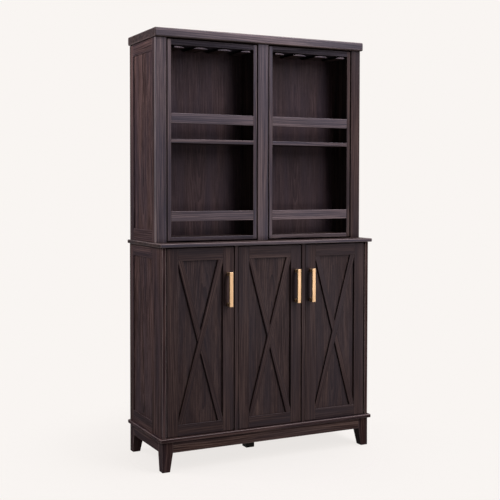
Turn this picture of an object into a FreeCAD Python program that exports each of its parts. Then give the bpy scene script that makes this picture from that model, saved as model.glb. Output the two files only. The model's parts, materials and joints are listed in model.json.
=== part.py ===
import FreeCAD, Part
import os
import re

# Bar armoire: a three-door base with a hutch that holds two revolving display boxes.
# Millimetres, +Z up, front towards -Y, origin on the floor under the middle of the whole box.

doc = FreeCAD.newDocument("BarArmoire")
sheet = doc.addObject("Spreadsheet::Sheet", "Sizes")

# Driving dimensions, one named cell each
sizes = {
    # base carcass
    "base_width": 994,
    "base_depth": 367,
    "leg_height": 123,
    "bottom_thick": 15,
    "bottom_overhang": 11,
    "side_height": 773,
    "side_thick": 18,
    "partition_thick": 16,
    "counter_thick": 15,
    "counter_overhang_side": 11,
    "counter_overhang_front": 13.5,
    "back_thick": 5,
    # sunk field on the outer faces of the sides
    "field_sunk": 4,
    "field_stile": 43,
    "field_rail": 50,
    # plinth
    "foot_top": 47,
    "foot_toe": 34,
    "apron_height": 46,
    "apron_thick": 18,
    "centre_foot": 40,
    "centre_foot_setback": 181,
    # adjustable shelves of the base
    "shelf_thick": 15,
    "shelf_level": 365,
    "shelf_clear": 1,
    "shelf_setback": 24,
    "shelf_pin_diameter": 6,
    "shelf_pin_reach": 9,
    "shelf_pin_sink": 7,
    "shelf_pin_inset": 55,
    # doors
    "door_thick": 18,
    "door_gap": 3.5,
    "door_gap_below": 3,
    "door_gap_above": 5,
    "door_inset": 3,
    "door_stile": 50,
    "door_rail_top": 51,
    "door_rail_bottom": 46,
    "door_recess": 8,
    "door_panel_thick": 5,
    "cross_width": 24,
    "cross_thick": 7,
    "cross_corner_offset": 9,
    # pull handles
    "handle_reach": 30,
    "handle_length": 145,
    "handle_width": 17,
    "handle_depth": 9,
    "handle_ease": 2,
    "handle_post": 14,
    "handle_post_inset": 2,
    "handle_drop": 102.5,
    # concealed hinges
    "cup_diameter": 35,
    "cup_depth": 11.5,
    "cup_clear": 0.2,
    "cup_edge": 22,
    "cup_flange_length": 52,
    "cup_flange_width": 18,
    "cup_flange_thick": 2,
    "hinge_end": 95,
    "hinge_clear": 0.3,
    "hinge_plate_length": 48,
    "hinge_plate_height": 36,
    "hinge_plate_thick": 4,
    "hinge_crank_width": 12,
    "hinge_crank_height": 14,
    # hutch
    "hutch_set_in": 2,
    "counter_ledge": 69,
    "hutch_height": 837,
    "stile_outer": 46.5,
    "stile_centre": 50,
    "stile_thick": 18,
    "crown_thick": 37,
    "crown_overhang_side": 9,
    "crown_overhang_front": 12,
    # revolving display boxes
    "display_gap": 5.2,
    "display_gap_below": 6,
    "display_gap_above": 6,
    "display_inset": 1.5,
    "display_depth": 124,
    "display_board": 16,
    "display_top_thick": 22,
    "display_back_thick": 9,
    "display_bay": 387,
    "guard_height": 41,
    "guard_thick": 12,
    "guard_lift": 65,
    # stemware rack
    "rack_side_gap": 15.05,
    "rack_end_share": 0.6875,
    "rack_slot": 45,
    "rack_depth": 110,
    "rack_setback": 2,
    "rack_thick": 6.5,
    "rack_dome_rise": 5,
    "rack_foot_gap": 4.5,
    "rack_stem": 18,
    "rack_stem_setback": 36,
    # pivots of the display boxes
    "pivot_pin": 10,
    "pivot_pin_length": 10,
    "pivot_clear": 0.05,
    "pivot_float": 0.3,
    "pivot_disc": 80,
    "socket_flange": 60,
    "socket_flange_thick": 3,
    "socket_sleeve": 16,
    "socket_sleeve_length": 8,
    # rounding of edges, and how far a cutter stands past what it cuts
    "board_ease": 1,
    "moulding_ease": 3,
    "corner_ease": 2.5,
    "cut_overrun": 2,
    "touch_tolerance": 0.01,
}
for row, (alias, number) in enumerate(sizes.items(), 1):
    sheet.set(f"A{row}", alias)
    sheet.set(f"B{row}", str(number))
    sheet.setAlias(f"B{row}", alias)
doc.recompute()

# Places that many pieces share, written in the sheet's names
base_front = "((handle_reach - door_inset - base_depth) / 2)"
base_rear = f"({base_front} + base_depth)"
hutch_front = f"({base_rear} - hutch_depth)"
bottom_top = "(leg_height + bottom_thick)"
counter_under = f"({bottom_top} + side_height)"
counter_top = f"({counter_under} + counter_thick)"
crown_under = f"({counter_top} + hutch_height)"
apron_low = "(leg_height - apron_height)"
opening_width = "((base_width - 2 * side_thick - 2 * partition_thick) / 3)"
compartments = ("left", "middle", "right")

# Sizes that follow from others
derived = {
    "hutch_width": "(base_width - 2 * hutch_set_in)",
    "hutch_depth": "(base_depth - counter_ledge)",
    "display_width": "(hutch_width / 2 - stile_outer - stile_centre / 2 - 2 * display_gap)",
    "display_inside": "(display_width - 2 * display_board)",
    "rack_width": "(display_inside - 2 * rack_side_gap)",
    "rack_finger": "((rack_width - 3 * rack_slot) / (2 + 2 * rack_end_share))",
    "rack_end_finger": "(rack_finger * rack_end_share)",
    "rack_pitch": "(rack_finger + rack_slot)",
    "rack_dome_radius": "(rack_finger * rack_finger / (8 * rack_dome_rise) + rack_dome_rise / 2)",
}

nodes = {}


def named(text):
    # writes an expression in the sheet's cells: an alias gets the sheet's name, a derived size its sum
    def cell(match):
        word = match[0]
        if word in derived:
            return named(derived[word])
        return f"Sizes.{word}" if word in sizes else word

    return re.sub(r"[a-z_]+", cell, text)


def bind(thing, **expressions):
    # ties properties of an object to the sheet
    for name, text in expressions.items():
        thing.setExpression(name, named(text))


def place(thing, corner):
    # ties the three coordinates of an object's place to the sheet
    for axis, text in zip("xyz", corner):
        thing.setExpression(f"Placement.Base.{axis}", named(text))


def value(text):
    # the number that an expression in the sheet's names comes to
    return float(sheet.evalExpression(named(text)))


def box(name, size, corner):
    # a board, from its three sizes and its lowest corner
    block = doc.addObject("Part::Box", name)
    bind(block, Length=size[0], Width=size[1], Height=size[2])
    place(block, corner)
    return block


def rod(name, diameter, length, start, along="z"):
    # a round bar that runs from its start point along one axis
    bar = doc.addObject("Part::Cylinder", name)
    turns = {
        "z": FreeCAD.Rotation(),
        "y": FreeCAD.Rotation(FreeCAD.Vector(1, 0, 0), -90),
        "x": FreeCAD.Rotation(FreeCAD.Vector(0, 1, 0), 90),
    }
    bar.Placement = FreeCAD.Placement(FreeCAD.Vector(), turns[along])
    bind(bar, Radius=f"({diameter}) / 2", Height=length)
    place(bar, start)
    return bar


def cut(name, base, tool):
    result = doc.addObject("Part::Cut", name)
    result.Base = base
    result.Tool = tool
    return result


def fuse(name, pieces):
    result = doc.addObject("Part::MultiFuse", name)
    result.Shapes = pieces
    result.Refine = True
    return result


def group(name, pieces):
    # separate solids that share one node
    result = doc.addObject("Part::Compound", name)
    result.Links = pieces
    return result


def outer_edges(shape, faces, skip):
    # numbers of the edges on the named outer faces, leaving out those that touch a skipped face
    whole = shape.BoundBox
    near = value("touch_tolerance")
    found = []
    for number, edge in enumerate(shape.Edges, 1):
        span = edge.BoundBox
        gaps = {
            "left": span.XMax - whole.XMin,
            "right": whole.XMax - span.XMin,
            "front": span.YMax - whole.YMin,
            "rear": whole.YMax - span.YMin,
            "under": span.ZMax - whole.ZMin,
            "top": whole.ZMax - span.ZMin,
        }
        touched = {face for face, gap in gaps.items() if gap < near}
        if len(touched) > 1 and touched & set(faces) and not touched & set(skip):
            found.append(number)
    return found


def ease(name, blank, radius_alias, faces, skip=()):
    # rounds the outer edges of a board
    doc.recompute()
    radius = value(radius_alias)
    result = doc.addObject("Part::Fillet", name)
    result.Base = blank
    result.Edges = [(number, radius, radius) for number in outer_edges(blank.Shape, faces, skip)]
    return result


def keep(label, thing):
    thing.Label = label
    nodes[label] = thing
    return thing


# Plinth: a bottom board with a moulded edge on four tapered feet, aprons and a block under the middle

bottom = box(
    "bottom_blank",
    ("base_width + 2 * bottom_overhang", "base_depth + bottom_overhang", "bottom_thick"),
    ("-base_width / 2 - bottom_overhang", f"{base_front} - bottom_overhang", "leg_height"),
)
keep("base_bottom", ease("bottom", bottom, "moulding_ease", ("left", "right", "front"), ("rear",)))


def foot(label, side, end):
    # square foot whose two inner faces taper towards the floor
    toe = doc.addObject("Part::Wedge", f"{label}_toe")
    toe.Placement = FreeCAD.Placement(FreeCAD.Vector(), FreeCAD.Rotation(FreeCAD.Vector(1, 0, 0), 90))
    low_x, high_x = ("0", "1") if side == "left" else ("-1", "0")
    low_z, high_z = ("-1", "0") if end == "front" else ("0", "1")
    bind(toe, Ymin="0", Ymax=apron_low)
    bind(toe, Xmin=f"{low_x} * foot_toe", Xmax=f"{high_x} * foot_toe")
    bind(toe, X2min=f"{low_x} * foot_top", X2max=f"{high_x} * foot_top")
    bind(toe, Zmin=f"{low_z} * foot_toe", Zmax=f"{high_z} * foot_toe")
    bind(toe, Z2min=f"{low_z} * foot_top", Z2max=f"{high_z} * foot_top")
    corner_x = "-base_width / 2" if side == "left" else "base_width / 2"
    corner_y = base_front if end == "front" else base_rear
    place(toe, (corner_x, corner_y, "0"))
    block_x = corner_x if side == "left" else f"{corner_x} - foot_top"
    block_y = corner_y if end == "front" else f"{corner_y} - foot_top"
    block = box(f"{label}_block", ("foot_top", "foot_top", "apron_height"), (block_x, block_y, apron_low))
    keep(label, fuse(label, [toe, block]))


for end in ("front", "rear"):
    for side in ("left", "right"):
        foot(f"foot_{end}_{side}", side, end)

keep("apron_front", box(
    "apron_front",
    ("base_width - 2 * foot_top", "apron_thick", "apron_height"),
    ("foot_top - base_width / 2", base_front, apron_low),
))
rail_left = box(
    "rail_left",
    ("apron_thick", "base_depth - 2 * foot_top", "apron_height"),
    ("-base_width / 2", f"{base_front} + foot_top", apron_low),
)
rail_right = box(
    "rail_right",
    ("apron_thick", "base_depth - 2 * foot_top", "apron_height"),
    ("base_width / 2 - apron_thick", f"{base_front} + foot_top", apron_low),
)
rail_rear = box(
    "rail_rear",
    ("base_width - 2 * foot_top", "apron_thick", "apron_height"),
    ("foot_top - base_width / 2", f"{base_rear} - apron_thick", apron_low),
)
keep("plinth_rails", group("plinth_rails", [rail_left, rail_right, rail_rear]))
keep("foot_centre", box(
    "foot_centre",
    ("centre_foot", "centre_foot", "leg_height"),
    ("-centre_foot / 2", f"{base_front} + centre_foot_setback", "0"),
))

# Sides of the base and of the hutch: boards with a sunk field on the outer face


def side_board(label, side, width, front, low, height, eased):
    # the field lies at the same depth in the hutch and in the base
    outer = f"(-{width} / 2)" if side == "left" else f"({width} / 2 - side_thick)"
    board = box(f"{label}_blank", ("side_thick", f"{base_rear} - {front}", height), (outer, front, low))
    field_x = f"-{width} / 2 - cut_overrun" if side == "left" else f"{width} / 2 - field_sunk"
    field = box(
        f"{label}_field",
        ("field_sunk + cut_overrun", "hutch_depth - 2 * field_stile", f"{height} - 2 * field_rail"),
        (field_x, f"{hutch_front} + field_stile", f"{low} + field_rail"),
    )
    sunk = cut(f"{label}_sunk", board, field)
    if not eased:
        return keep(label, sunk)
    opposite = "right" if side == "left" else "left"
    return keep(label, ease(label, sunk, "corner_ease", ("front",), (opposite, "top", "under")))


for side in ("left", "right"):
    side_board(f"base_side_{side}", side, "base_width", base_front, bottom_top, "side_height", True)

for number, side in enumerate(("left", "right"), 1):
    partition = box(
        f"partition_{side}_blank",
        ("partition_thick", "base_depth - back_thick", "side_height"),
        (
            f"-base_width / 2 + side_thick + {number} * {opening_width} + {number - 1} * partition_thick",
            base_front,
            bottom_top,
        ),
    )
    keep(f"base_partition_{side}", ease(
        f"partition_{side}", partition, "board_ease", ("front",), ("top", "under")))

keep("base_back", box(
    "base_back",
    ("base_width - 2 * side_thick", "back_thick", "side_height"),
    ("side_thick - base_width / 2", f"{base_rear} - back_thick", bottom_top),
))

# Revolving pivots: each display box turns on a pin above and a pin below, in flanged sockets

display_offset = "(stile_centre / 2 + display_gap + display_width / 2)"
display_front = f"({hutch_front} + display_inset)"
display_axis = f"({display_front} + display_depth / 2)"
display_low = f"({counter_top} + display_gap_below)"
display_height = "(hutch_height - display_gap_below - display_gap_above)"
display_signs = {"left": -1, "right": 1}


def display_middle(side):
    return f"({display_signs[side]} * {display_offset})"


def upright(name, diameter, length, side, start):
    # a round piece on a display box's axis; a start of "from, up" runs up, "from, down" runs down
    level, way = start
    low = level if way == "up" else f"{level} - ({length})"
    return rod(name, diameter, length, (display_middle(side), display_axis, low))


def socket(name, side, face, way):
    # flanged bush: the sleeve is let into the board, and the flange stands on its face
    out = "down" if way == "up" else "up"
    flange = upright(f"{name}_flange", "socket_flange", "socket_flange_thick", side, (face, out))
    sleeve = upright(f"{name}_sleeve", "socket_sleeve", "socket_sleeve_length", side, (face, way))
    body = fuse(f"{name}_body", [flange, sleeve])
    mouth = f"{face} + socket_flange_thick" if way == "down" else f"{face} - socket_flange_thick"
    bore = upright(
        f"{name}_bore",
        "pivot_pin + 2 * pivot_clear",
        "socket_flange_thick + socket_sleeve_length",
        side,
        (mouth, way),
    )
    return cut(name, body, bore)


def pivot(name, side, face, way, gap, diameter):
    # disc that fills the gap to the socket's flange, and the pin that enters the socket
    disc_thick = f"({gap} - socket_flange_thick - pivot_float)"
    disc = upright(f"{name}_disc", diameter, disc_thick, side, (face, way))
    reach = f"({disc_thick} + pivot_pin_length)"
    pin = upright(f"{name}_pin", "pivot_pin", reach, side, (face, way))
    return fuse(name, [disc, pin])


def seats(name, face, way):
    # holes that take the sleeves of a pair of sockets
    tools = [
        upright(f"{name}_{side}", "socket_sleeve", "socket_sleeve_length", side, (face, way))
        for side in display_signs
    ]
    return group(name, tools)


sockets = []
for side in display_signs:
    sockets.append(socket(f"socket_{side}_lower", side, counter_top, "down"))
    sockets.append(socket(f"socket_{side}_upper", side, crown_under, "up"))
keep("pivot_sockets", group("pivot_sockets", sockets))

# Counter and crown, bored for the sockets

counter_blank = box(
    "counter_blank",
    ("base_width + 2 * counter_overhang_side", "base_depth + counter_overhang_front", "counter_thick"),
    ("-base_width / 2 - counter_overhang_side", f"{base_front} - counter_overhang_front", counter_under),
)
counter_eased = ease(
    "counter_eased", counter_blank, "moulding_ease", ("left", "right", "front"), ("rear",))
keep("counter", cut("counter", counter_eased, seats("counter_seats", counter_top, "down")))

crown_blank = box(
    "crown_blank",
    ("hutch_width + 2 * crown_overhang_side", "hutch_depth + crown_overhang_front", "crown_thick"),
    ("-hutch_width / 2 - crown_overhang_side", f"{hutch_front} - crown_overhang_front", crown_under),
)
crown_eased = ease("crown_eased", crown_blank, "corner_ease", ("left", "right", "front"), ("rear",))
keep("hutch_crown", cut("hutch_crown", crown_eased, seats("crown_seats", crown_under, "up")))

# Hutch: sides, back and the three stiles of its front frame

for side in ("left", "right"):
    side_front = f"({hutch_front} + stile_thick)"
    side_board(f"hutch_side_{side}", side, "hutch_width", side_front, counter_top, "hutch_height", False)

keep("hutch_back", box(
    "hutch_back",
    ("hutch_width - 2 * side_thick", "back_thick", "hutch_height"),
    ("side_thick - hutch_width / 2", f"{base_rear} - back_thick", counter_top),
))

stile_places = {
    "left": ("stile_outer", "-hutch_width / 2"),
    "centre": ("stile_centre", "-stile_centre / 2"),
    "right": ("stile_outer", "hutch_width / 2 - stile_outer"),
}
for side, (stile_width, stile_left) in stile_places.items():
    stile = box(
        f"stile_{side}_blank",
        (stile_width, "stile_thick", "hutch_height"),
        (stile_left, hutch_front, counter_top),
    )
    keep(f"hutch_stile_{side}", ease(f"stile_{side}", stile, "board_ease", ("front",), ("top", "under")))

# Display boxes: two sides, top, bottom, back, a fixed shelf, guard rails and a stemware rack


def display_boards(side):
    stem = f"display_{side}"
    left = f"({display_middle(side)} - display_width / 2)"
    right = f"({display_middle(side)} + display_width / 2)"
    inner_left = f"({left} + display_board)"
    shelf_depth = "(display_depth - display_back_thick)"
    shelf_low = f"({display_low} + display_board + display_bay)"
    places = {"outer": left, "inner": f"{right} - display_board"}
    if side == "right":
        places = {"outer": f"{right} - display_board", "inner": left}
    for which, corner in places.items():
        board = box(
            f"{stem}_side_{which}_blank",
            ("display_board", "display_depth", display_height),
            (corner, display_front, display_low),
        )
        keep(f"{stem}_side_{which}", ease(f"{stem}_side_{which}", board, "board_ease", ("front", "rear")))
    levels = {
        "top": ("display_top_thick", f"{display_low} + {display_height} - display_top_thick"),
        "shelf": ("display_board", shelf_low),
        "bottom": ("display_board", display_low),
    }
    for which, (thick, level) in levels.items():
        board = box(
            f"{stem}_{which}_blank",
            ("display_inside", shelf_depth, thick),
            (inner_left, display_front, level),
        )
        keep(f"{stem}_{which}", ease(
            f"{stem}_{which}", board, "board_ease", ("front",), ("left", "right")))
    keep(f"{stem}_back", box(
        f"{stem}_back",
        ("display_inside", "display_back_thick", display_height),
        (inner_left, f"{display_front} + {shelf_depth}", display_low),
    ))
    guards = []
    floors = {"lower": f"{display_low} + display_board", "upper": f"{shelf_low} + display_board"}
    for which, floor in floors.items():
        guard = box(
            f"{stem}_guard_{which}_blank",
            ("display_inside", "guard_thick", "guard_height"),
            (inner_left, display_front, f"{floor} + guard_lift"),
        )
        guards.append(ease(
            f"{stem}_guard_{which}", guard, "board_ease", ("front", "rear"), ("left", "right")))
    keep(f"{stem}_guard_rails", group(f"{stem}_guard_rails", guards))


def stemware_rack(side):
    # four rails with domed tops, each hung under the box's top by a narrow stem; the outermost are cut short
    stem = f"display_{side}"
    left = f"({display_middle(side)} - rack_width / 2)"
    right = f"({display_middle(side)} + rack_width / 2)"
    front = f"({display_front} + rack_setback)"
    under_top = f"({display_low} + {display_height} - display_top_thick)"
    level = f"({under_top} - rack_foot_gap - rack_thick)"
    rails = []
    for number in range(4):
        middle = f"({left} + rack_end_finger - rack_finger / 2 + {number} * rack_pitch)"
        spans = {
            0: ("rack_end_finger", left),
            3: ("rack_end_finger", f"{right} - rack_end_finger"),
        }
        width, corner = spans.get(number, ("rack_finger", f"{middle} - rack_finger / 2"))
        strip = box(
            f"{stem}_rail_{number}_strip",
            (width, "rack_depth", "rack_thick"),
            (corner, front, level),
        )
        dome = rod(
            f"{stem}_rail_{number}_dome",
            "2 * rack_dome_radius",
            "rack_depth",
            (middle, front, f"{level} + rack_thick - rack_dome_radius"),
            "y",
        )
        domed = doc.addObject("Part::Common", f"{stem}_rail_{number}_domed")
        domed.Base = strip
        domed.Tool = dome
        hanger = box(
            f"{stem}_rail_{number}_hanger",
            ("rack_stem", "rack_depth - rack_stem_setback", "rack_thick / 2 + rack_foot_gap"),
            (f"{middle} - rack_stem / 2", f"{front} + rack_stem_setback", f"{level} + rack_thick / 2"),
        )
        rails.append(fuse(f"{stem}_rail_{number}", [domed, hanger]))
    keep(f"{stem}_stemware_rack", group(f"{stem}_stemware_rack", rails))


for side in display_signs:
    display_boards(side)
    stemware_rack(side)
    lower = pivot(f"pivot_{side}_lower", side, display_low, "down", "display_gap_below", "pivot_disc")
    upper_face = f"({display_low} + {display_height})"
    upper = pivot(f"pivot_{side}_upper", side, upper_face, "up", "display_gap_above", "socket_flange")
    keep(f"display_{side}_pivots", group(f"display_{side}_pivots", [lower, upper]))

# Doors: stiles and rails round a panel, a diagonal cross, a pull handle and two concealed hinges

door_width = f"({opening_width} - 2 * door_gap)"
door_height = "(side_height - door_gap_below - door_gap_above)"
door_front = f"({base_front} + door_inset)"
door_rear = f"({door_front} + door_thick)"
door_low = f"({bottom_top} + door_gap_below)"
panel_width = f"({door_width} - 2 * door_stile)"
panel_height = f"({door_height} - door_rail_top - door_rail_bottom)"
panel_low = f"({door_low} + door_rail_bottom)"
hinge_levels = {"lower": f"({door_low} + hinge_end)", "upper": f"({door_low} + {door_height} - hinge_end)"}
hinge_sides = {"left": "left", "middle": "left", "right": "right"}
arms = []


def opening_left(number):
    return f"(-base_width / 2 + side_thick + {number} * ({opening_width} + partition_thick))"


def door_frame(stem, left, hinge_side):
    right = f"({left} + {door_width})"
    stiles = {"left": left, "right": f"{right} - door_stile"}
    cup_x = f"{left} + cup_edge" if hinge_side == "left" else f"{right} - cup_edge"
    members = []
    for side, corner in stiles.items():
        stile = box(
            f"{stem}_stile_{side}_blank",
            ("door_stile", "door_thick", door_height),
            (corner, door_front, door_low),
        )
        member = ease(f"{stem}_stile_{side}", stile, "board_ease", ("front",))
        if side == hinge_side:
            bores = [
                rod(
                    f"{stem}_cup_bore_{which}",
                    "cup_diameter + 2 * cup_clear",
                    "cup_depth + cup_clear + cut_overrun",
                    (cup_x, f"{door_rear} - cup_depth - cup_clear", level),
                    "y",
                )
                for which, level in hinge_levels.items()
            ]
            member = cut(f"{stem}_stile_{side}_bored", member, group(f"{stem}_cup_bores", bores))
        members.append(member)
    rails = {
        "top": ("door_rail_top", f"{door_low} + {door_height} - door_rail_top"),
        "bottom": ("door_rail_bottom", door_low),
    }
    for which, (height, level) in rails.items():
        rail = box(
            f"{stem}_rail_{which}_blank",
            (panel_width, "door_thick", height),
            (f"{left} + door_stile", door_front, level),
        )
        members.append(ease(f"{stem}_rail_{which}", rail, "board_ease", ("front",), ("left", "right")))
    keep(f"{stem}_frame", group(f"{stem}_frame", members))


def door_cross(stem, left):
    # two battens whose middle lines pass the panel's corners by the offset; where they meet, the second
    # is cut in two
    face = f"({door_front} + door_recess - cross_thick)"
    diagonal = f"sqrt({panel_width} * {panel_width} + {panel_height} * {panel_height})"
    angle = f"(acos(2 * cross_corner_offset / {diagonal}) - atan({panel_height} / {panel_width}))"
    length = f"({diagonal} + cross_width)"
    middle_x = f"({left} + {door_width} / 2)"
    middle_z = f"({panel_low} + {panel_height} / 2)"
    battens = []
    for which, way in (("rising", 1), ("falling", -1)):
        strip = box(f"{stem}_{which}_strip", ("cross_width", "cross_thick", length), ("0", face, "0"))
        turn = FreeCAD.Rotation(FreeCAD.Vector(0, way, 0), 1)
        strip.Placement = FreeCAD.Placement(FreeCAD.Vector(), turn)
        strip.setExpression("Placement.Rotation.Angle", named(angle))
        place(strip, (
            f"{middle_x} - cross_width / 2 * cos({angle}) - {way} * {length} / 2 * sin({angle})",
            face,
            f"{middle_z} + {way} * cross_width / 2 * sin({angle}) - {length} / 2 * cos({angle})",
        ))
        room = box(
            f"{stem}_{which}_room",
            (panel_width, "cross_thick", panel_height),
            (f"{left} + door_stile", face, panel_low),
        )
        batten = doc.addObject("Part::Common", f"{stem}_{which}")
        batten.Base = strip
        batten.Tool = room
        battens.append(batten)
    rising, falling = battens
    halves = cut(f"{stem}_falling_halves", falling, rising)
    keep(f"{stem}_cross", group(f"{stem}_cross", [rising, halves]))


def door_handle(stem, left, hinge_side):
    # a flat bar on two square posts near its ends, in the middle of the free stile
    free = f"{left} + {door_width} - door_stile / 2" if hinge_side == "left" else f"{left} + door_stile / 2"
    top = f"({door_low} + {door_height} - handle_drop)"
    blank = box(
        f"{stem}_bar_blank",
        ("handle_width", "handle_depth", "handle_length"),
        (f"{free} - handle_width / 2", f"{door_front} - handle_reach", f"{top} - handle_length"),
    )
    bar = ease(f"{stem}_bar", blank, "handle_ease", ("front", "top", "under"), ("rear",))
    bar_middle = f"{door_front} - handle_reach + handle_depth / 2"
    levels = {
        "lower": f"{top} - handle_length + handle_post_inset",
        "upper": f"{top} - handle_post_inset - handle_post",
    }
    posts = [
        box(
            f"{stem}_post_{which}",
            ("handle_post", "handle_reach - handle_depth / 2", "handle_post"),
            (f"{free} - handle_post / 2", bar_middle, level),
        )
        for which, level in levels.items()
    ]
    keep(f"{stem}_handle", fuse(f"{stem}_handle", [bar] + posts))


def door_hinges(stem, left, wall, hinge_side):
    # cups let into the door, and cranked arms on the wall of the opening behind them
    way = 1 if hinge_side == "left" else -1
    edge = left if hinge_side == "left" else f"({left} + {door_width})"
    cup_x = f"({edge} + {way} * cup_edge)"
    crank_reach = "(door_gap + cup_edge + hinge_crank_width / 2)"
    crank_x = wall if hinge_side == "left" else f"{wall} - {crank_reach}"
    cups = []
    for which, level in hinge_levels.items():
        cup_start = (cup_x, f"{door_rear} - cup_depth", level)
        cup = rod(f"{stem}_cup_{which}_body", "cup_diameter", "cup_depth", cup_start, "y")
        flange = box(
            f"{stem}_cup_{which}_flange",
            ("cup_flange_width", "cup_flange_thick", "cup_flange_length"),
            (f"{cup_x} - cup_flange_width / 2", door_rear, f"{level} - cup_flange_length / 2"),
        )
        cups.append(fuse(f"{stem}_cup_{which}", [cup, flange]))
        arm_front = f"({door_rear} + cup_flange_thick + hinge_clear)"
        plate_x = wall if hinge_side == "left" else f"{wall} - hinge_plate_thick"
        plate = box(
            f"{stem}_plate_{which}",
            ("hinge_plate_thick", "hinge_plate_length", "hinge_plate_height"),
            (plate_x, arm_front, f"{level} - hinge_plate_height / 2"),
        )
        crank = box(
            f"{stem}_crank_{which}",
            (crank_reach, "hinge_crank_width", "hinge_crank_height"),
            (crank_x, arm_front, f"{level} - hinge_crank_height / 2"),
        )
        arms.append(fuse(f"{stem}_arm_{which}", [plate, crank]))
    keep(f"{stem}_hinge_cups", group(f"{stem}_hinge_cups", cups))


for number, compartment in enumerate(compartments):
    stem = f"door_{compartment}"
    hinge_side = hinge_sides[compartment]
    wall_left = opening_left(number)
    door_left = f"({wall_left} + door_gap)"
    hinge_wall = wall_left if hinge_side == "left" else f"({wall_left} + {opening_width})"
    door_frame(stem, door_left, hinge_side)
    keep(f"{stem}_panel", box(
        f"{stem}_panel",
        (panel_width, "door_panel_thick", panel_height),
        (f"{door_left} + door_stile", f"{door_front} + door_recess", panel_low),
    ))
    door_cross(stem, door_left)
    door_handle(stem, door_left, hinge_side)
    door_hinges(stem, door_left, hinge_wall, hinge_side)
keep("hinge_arms", group("hinge_arms", arms))

# Adjustable shelves of the base, on round pins pressed into the walls

shelf_front = f"({door_rear} + shelf_setback)"
shelf_low = f"({bottom_top} + shelf_level)"
shelf_depth = f"({base_rear} - back_thick - shelf_clear - {shelf_front})"
pin_rows = {
    "front": f"{shelf_front} + shelf_pin_inset",
    "rear": f"{base_rear} - back_thick - shelf_pin_inset",
}
pins = []
for number, compartment in enumerate(compartments):
    wall_left = opening_left(number)
    wall_right = f"({wall_left} + {opening_width})"
    shelf = box(
        f"shelf_{compartment}_blank",
        (f"{opening_width} - 2 * shelf_clear", shelf_depth, "shelf_thick"),
        (f"{wall_left} + shelf_clear", shelf_front, shelf_low),
    )
    keep(f"base_shelf_{compartment}", ease(
        f"shelf_{compartment}", shelf, "board_ease", ("front",), ("left", "right")))
    starts = {"left": f"{wall_left} - shelf_pin_sink", "right": f"{wall_right} - shelf_pin_reach"}
    for row, pin_y in pin_rows.items():
        for side, pin_x in starts.items():
            pins.append(rod(
                f"pin_{compartment}_{row}_{side}",
                "shelf_pin_diameter",
                "shelf_pin_sink + shelf_pin_reach",
                (pin_x, pin_y, f"{shelf_low} - shelf_pin_diameter / 2"),
                "x",
            ))
keep("shelf_pins", group("shelf_pins", pins))

# Every object is checked before anything is written

doc.recompute()
for thing in doc.Objects:
    if "Invalid" in thing.State or "Error" in thing.State:
        raise RuntimeError(f"{thing.Label} failed: {thing.State}")
whole = FreeCAD.BoundBox()
for label, thing in nodes.items():
    shape = thing.Shape
    if shape.isNull() or not shape.isValid() or not shape.Solids:
        raise RuntimeError(f"{label} has no valid solid")
    whole.add(shape.BoundBox)

os.makedirs("parts", exist_ok=True)
for label, thing in nodes.items():
    thing.Shape.exportStep(f"parts/{label}.step")
print(f"{len(nodes)} nodes, {whole.XLength:.1f} x {whole.YLength:.1f} x {whole.ZLength:.1f} mm")
print(f"y from {whole.YMin:.2f} to {whole.YMax:.2f}")
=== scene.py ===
import json
import math
import bpy
import numpy as np
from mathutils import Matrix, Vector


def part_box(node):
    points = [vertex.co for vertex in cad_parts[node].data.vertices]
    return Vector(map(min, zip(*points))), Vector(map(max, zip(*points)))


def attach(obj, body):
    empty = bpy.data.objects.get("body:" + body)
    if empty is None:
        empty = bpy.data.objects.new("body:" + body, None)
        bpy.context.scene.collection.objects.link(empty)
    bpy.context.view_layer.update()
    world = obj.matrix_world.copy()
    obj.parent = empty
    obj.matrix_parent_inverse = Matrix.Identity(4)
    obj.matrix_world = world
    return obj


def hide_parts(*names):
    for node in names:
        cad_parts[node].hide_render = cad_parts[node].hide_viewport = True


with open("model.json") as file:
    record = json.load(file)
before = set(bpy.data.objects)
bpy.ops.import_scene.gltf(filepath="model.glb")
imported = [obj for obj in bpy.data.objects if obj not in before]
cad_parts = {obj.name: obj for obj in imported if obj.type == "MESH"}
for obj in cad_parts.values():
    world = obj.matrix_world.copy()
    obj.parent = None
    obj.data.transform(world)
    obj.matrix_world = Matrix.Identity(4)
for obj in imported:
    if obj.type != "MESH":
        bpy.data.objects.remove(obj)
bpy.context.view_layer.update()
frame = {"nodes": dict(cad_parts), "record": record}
scene = bpy.context.scene
mm = 0.001
print("frame loaded")


def hexLinear(code):
    # an sRGB hex colour as linear RGBA
    parts = [int(code[i:i + 2], 16) / 255 for i in (1, 3, 5)]
    return [p / 12.92 if p <= 0.04045 else ((p + 0.055) / 1.055) ** 2.4 for p in parts] + [1.0]


def addNode(tree, kind, inputs=None, **settings):
    # a shader node with its settings; each input is a socket to link or a plain value, and sockets
    # that share a name are given by their number
    node = tree.nodes.new(kind)
    for key, item in settings.items():
        setattr(node, key, item)
    for key, item in (inputs or {}).items():
        if isinstance(item, bpy.types.NodeSocket):
            tree.links.new(item, node.inputs[key])
        else:
            node.inputs[key].default_value = item
    return node


def newMaterial(name):
    # a material with an empty node tree
    material = bpy.data.materials.new(name)
    material.use_nodes = True
    material.node_tree.nodes.clear()
    return material, material.node_tree


def noisePatterns(tree, place, patterns):
    # one noise per pattern: its size along the three axes in millimetres, its detail, and how rough
    # that detail is
    made = {}
    for pattern, (size, detail, rough) in patterns.items():
        perMetre = [1 / (s * mm) for s in size]
        scaled = addNode(tree, "ShaderNodeVectorMath", {0: place, 1: perMetre}, operation="MULTIPLY")
        noise = addNode(tree, "ShaderNodeTexNoise", {
            "Vector": scaled.outputs[0], "Scale": 1.0, "Detail": detail, "Roughness": rough,
        })
        made[pattern] = noise.outputs["Fac"]
    return made


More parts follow.
